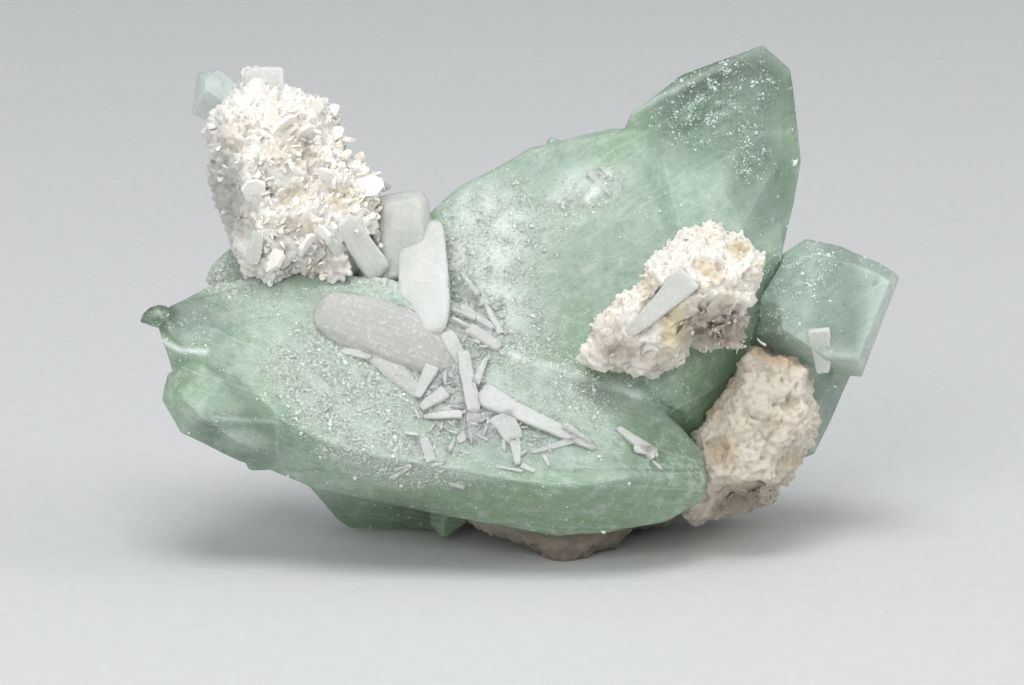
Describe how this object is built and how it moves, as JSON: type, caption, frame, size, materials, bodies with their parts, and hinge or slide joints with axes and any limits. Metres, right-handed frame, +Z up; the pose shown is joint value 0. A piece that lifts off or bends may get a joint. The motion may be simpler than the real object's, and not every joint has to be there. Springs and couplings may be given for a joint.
{
  "type": "apophyllite with mordenite",
  "caption": "Mineral group of pale green apophyllite crystals with white stilbite blades and knobbly cream mordenite, for display.",
  "frame": {"origin": "on the ground under the middle of the group's bounding box", "axes": "+X to the right across the group as seen from its display side, +Y away from that side, +Z up"},
  "size_m": [0.0764, 0.04, 0.049],
  "materials": {
    "apophyllite": "clear to frosted pale green crystal with a vitreous shine",
    "stilbite": "translucent white, pearly",
    "mordenite": "matt, finely fibrous cream"
  },
  "bodies": {
    "root": {"apophyllite_main": "apophyllite", "apophyllite_right": "apophyllite", "apophyllite_corner": "apophyllite", "stilbite_ball_blade": "stilbite", "stilbite_side_blade": "stilbite", "stilbite_flake": "stilbite", "stilbite_sheaf": "stilbite", "stilbite_saddle": "stilbite", "mordenite_horn": "mordenite", "mordenite_right_ball": "mordenite", "mordenite_middle_ball": "mordenite", "mordenite_matrix": "mordenite"}
  },
  "joints": []
}
